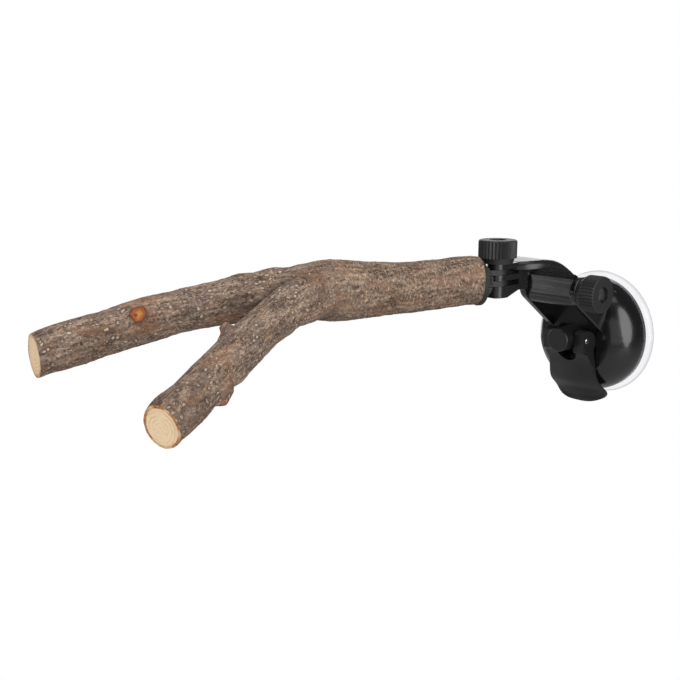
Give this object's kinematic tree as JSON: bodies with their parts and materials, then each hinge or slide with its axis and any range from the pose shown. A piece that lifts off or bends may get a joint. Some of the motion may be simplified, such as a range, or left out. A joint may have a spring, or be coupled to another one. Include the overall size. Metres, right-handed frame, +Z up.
{
  "type": "bird perch",
  "caption": "Natural forked branch perch held out from a window by a tilting and swivelling arm on a lever-locked vacuum suction mount.",
  "frame": {"origin": "centre of the suction pad's contact face on the glass", "axes": "+Y into the glass, so the perch reaches into the room along -Y; +Z up; +X to the right as seen from the room"},
  "size_m": [0.1415, 0.3283, 0.1036],
  "materials": {
    "clear_pvc": "clear soft PVC, glossy",
    "gloss_black": "polished black moulding",
    "satin_black": "satin black moulding",
    "knob_black": "matte dark grey-black moulding",
    "bright_steel": "bright steel pin",
    "zinc_steel": "zinc plated steel",
    "washer_rubber": "black rubber",
    "bark_wood": "natural bark, pale cut ends"
  },
  "bodies": {
    "base": {"cup_dome": "gloss_black", "suction_pad": "clear_pvc", "tilt_nut": "zinc_steel"},
    "stem": {"pad_stem": "satin_black"},
    "lever": {"cam_lever": "satin_black", "lever_pin": "bright_steel"},
    "arm": {"arm": "satin_black", "swivel_nut": "zinc_steel"},
    "tilt_knob": {"tilt_knob": "knob_black", "tilt_bolt": "zinc_steel"},
    "swivel_knob": {"swivel_knob": "knob_black", "swivel_bolt": "zinc_steel"},
    "adapter": {"prong_adapter": "knob_black", "branch_stud": "zinc_steel"},
    "lock_ring": {"lock_ring": "knob_black"},
    "branch": {"branch": "bark_wood", "friction_washer": "washer_rubber"}
  },
  "joints": [
    {"name": "stem_draw", "type": "slide", "parent": "base", "child": "stem", "axis": [0, 1, 0], "range_m": [0, 0.00257], "deforming": ["suction_pad"]},
    {"name": "lever_throw", "type": "hinge", "parent": "stem", "child": "lever", "pos_m": [0, -0.0343, 0], "axis": [-1, 0, 0], "range_deg": [0, 80]},
    {"name": "arm_tilt", "type": "hinge", "parent": "base", "child": "arm", "pos_m": [0, -0.0475, 0.031], "axis": [-1, 0, 0], "range_deg": [-45, 60]},
    {"name": "tilt_knob_turn", "type": "hinge", "parent": "base", "child": "tilt_knob", "pos_m": [0, -0.0475, 0.031], "axis": [1, 0, 0], "continuous": true},
    {"name": "branch_swivel", "type": "hinge", "parent": "arm", "child": "adapter", "pos_m": [0, -0.1002, 0.0426], "axis": [0, 0, 1], "range_deg": [-68, 112]},
    {"name": "swivel_knob_turn", "type": "hinge", "parent": "arm", "child": "swivel_knob", "pos_m": [0, -0.1002, 0.0426], "axis": [0, 0, 1], "continuous": true},
    {"name": "lock_ring_turn", "type": "hinge", "parent": "adapter", "child": "lock_ring", "pos_m": [0, -0.1002, 0.0406], "axis": [-0.3746, -0.9272, 0], "continuous": true},
    {"name": "branch_roll", "type": "hinge", "parent": "adapter", "child": "branch", "pos_m": [0, -0.1002, 0.0406], "axis": [-0.3746, -0.9272, 0], "continuous": true}
  ],
  "couplings": [
    {"joint": "lever_throw", "follows": "stem_draw", "rad_per_m": 543.1}
  ]
}
